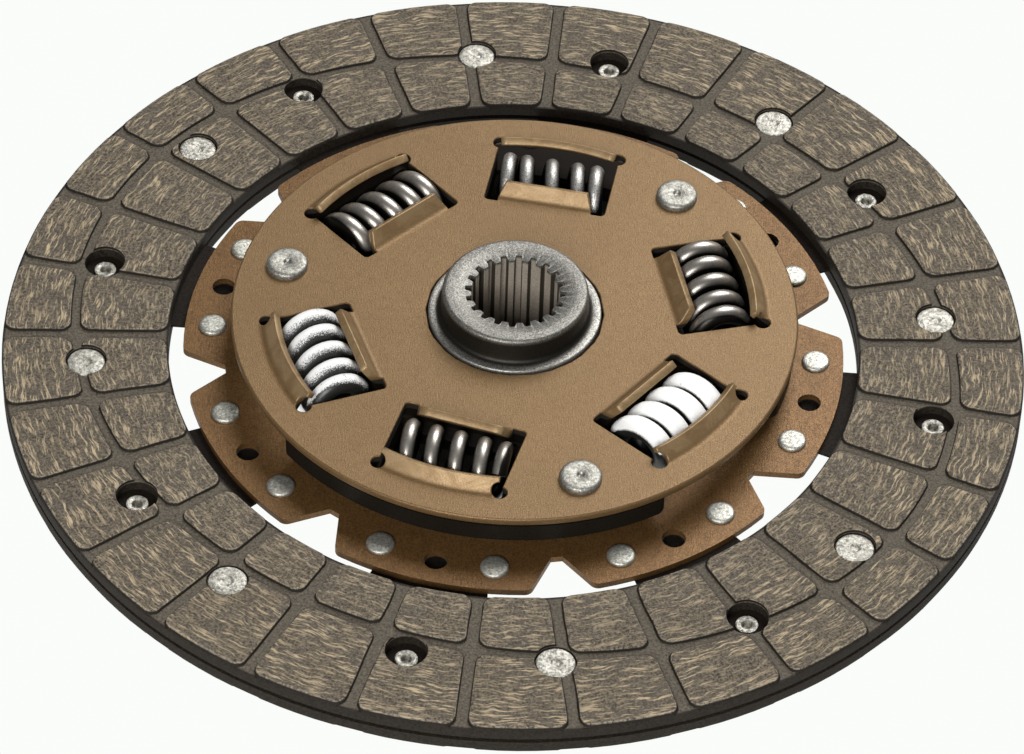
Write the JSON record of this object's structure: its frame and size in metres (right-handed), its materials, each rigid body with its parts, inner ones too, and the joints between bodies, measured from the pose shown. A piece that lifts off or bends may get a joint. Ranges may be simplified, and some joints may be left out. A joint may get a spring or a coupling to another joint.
{
  "type": "clutch disc",
  "caption": "Round clutch disc: grooved friction rings riveted to a lobed steel plate, and a splined hub that turns a little against coil springs in windows.",
  "frame": {"origin": "on the hub's axis, in the plane of the rear facing's rubbing face, on which the disc lies", "axes": "+Z along the hub's axis towards the gearbox side, where the hub stands out; X and Y in the disc's plane"},
  "size_m": [0.22, 0.22, 0.0221],
  "materials": {
    "friction_lining": "matte, with fine wavy fibre streaks",
    "bright_rivet": "satin",
    "spring_steel": "satin, oiled",
    "phosphated_plate": "semi-matte gold-brown phosphate",
    "hub_steel": "satin, finely speckled",
    "dark_spring": "polished dark steel",
    "grey_spring": "shot-peened silver grey",
    "white_spring": "white paint, worn",
    "friction_washer": "matte",
    "bush_plastic": "matte"
  },
  "bodies": {
    "disc": {"front_facing": "friction_lining", "rear_facing": "friction_lining", "front_facing_rivets": "bright_rivet", "rear_facing_rivets": "bright_rivet", "cushion_segment_1": "spring_steel", "cushion_segment_2": "spring_steel", "cushion_segment_3": "spring_steel", "cushion_segment_4": "spring_steel", "cushion_segment_5": "spring_steel", "cushion_segment_6": "spring_steel", "cushion_segment_7": "spring_steel", "cushion_segment_8": "spring_steel", "carrier_plate": "phosphated_plate", "side_plate": "phosphated_plate", "stop_pins": "bright_rivet", "segment_rivets": "bright_rivet", "front_friction_washer": "friction_washer", "rear_friction_washer": "friction_washer", "support_washer": "spring_steel", "disc_spring": "spring_steel", "centring_bush": "bush_plastic"},
    "hub": {"hub": "hub_steel"},
    "damper_springs": {"damper_spring_1": "dark_spring", "damper_spring_2": "grey_spring", "damper_spring_3": "dark_spring", "damper_spring_4": "white_spring", "damper_spring_5": "dark_spring", "damper_spring_6": "white_spring"}
  },
  "joints": [
    {"name": "hub_twist", "type": "hinge", "parent": "disc", "child": "hub", "pos_m": [0, 0, 0.011], "axis": [0, 0, 1], "range_deg": [-8, 8], "stiffness_Nm_per_rad": 600, "deforming": ["damper_spring_1", "damper_spring_2", "damper_spring_3", "damper_spring_4", "damper_spring_5", "damper_spring_6"]},
    {"name": "spring_follow", "type": "hinge", "parent": "disc", "child": "damper_springs", "pos_m": [0, 0, 0.011], "axis": [0, 0, 1], "range_deg": [-4, 4], "deforming": ["damper_spring_1", "damper_spring_2", "damper_spring_3", "damper_spring_4", "damper_spring_5", "damper_spring_6"]}
  ],
  "couplings": [
    {"joint": "spring_follow", "follows": "hub_twist", "ratio": 0.5}
  ]
}
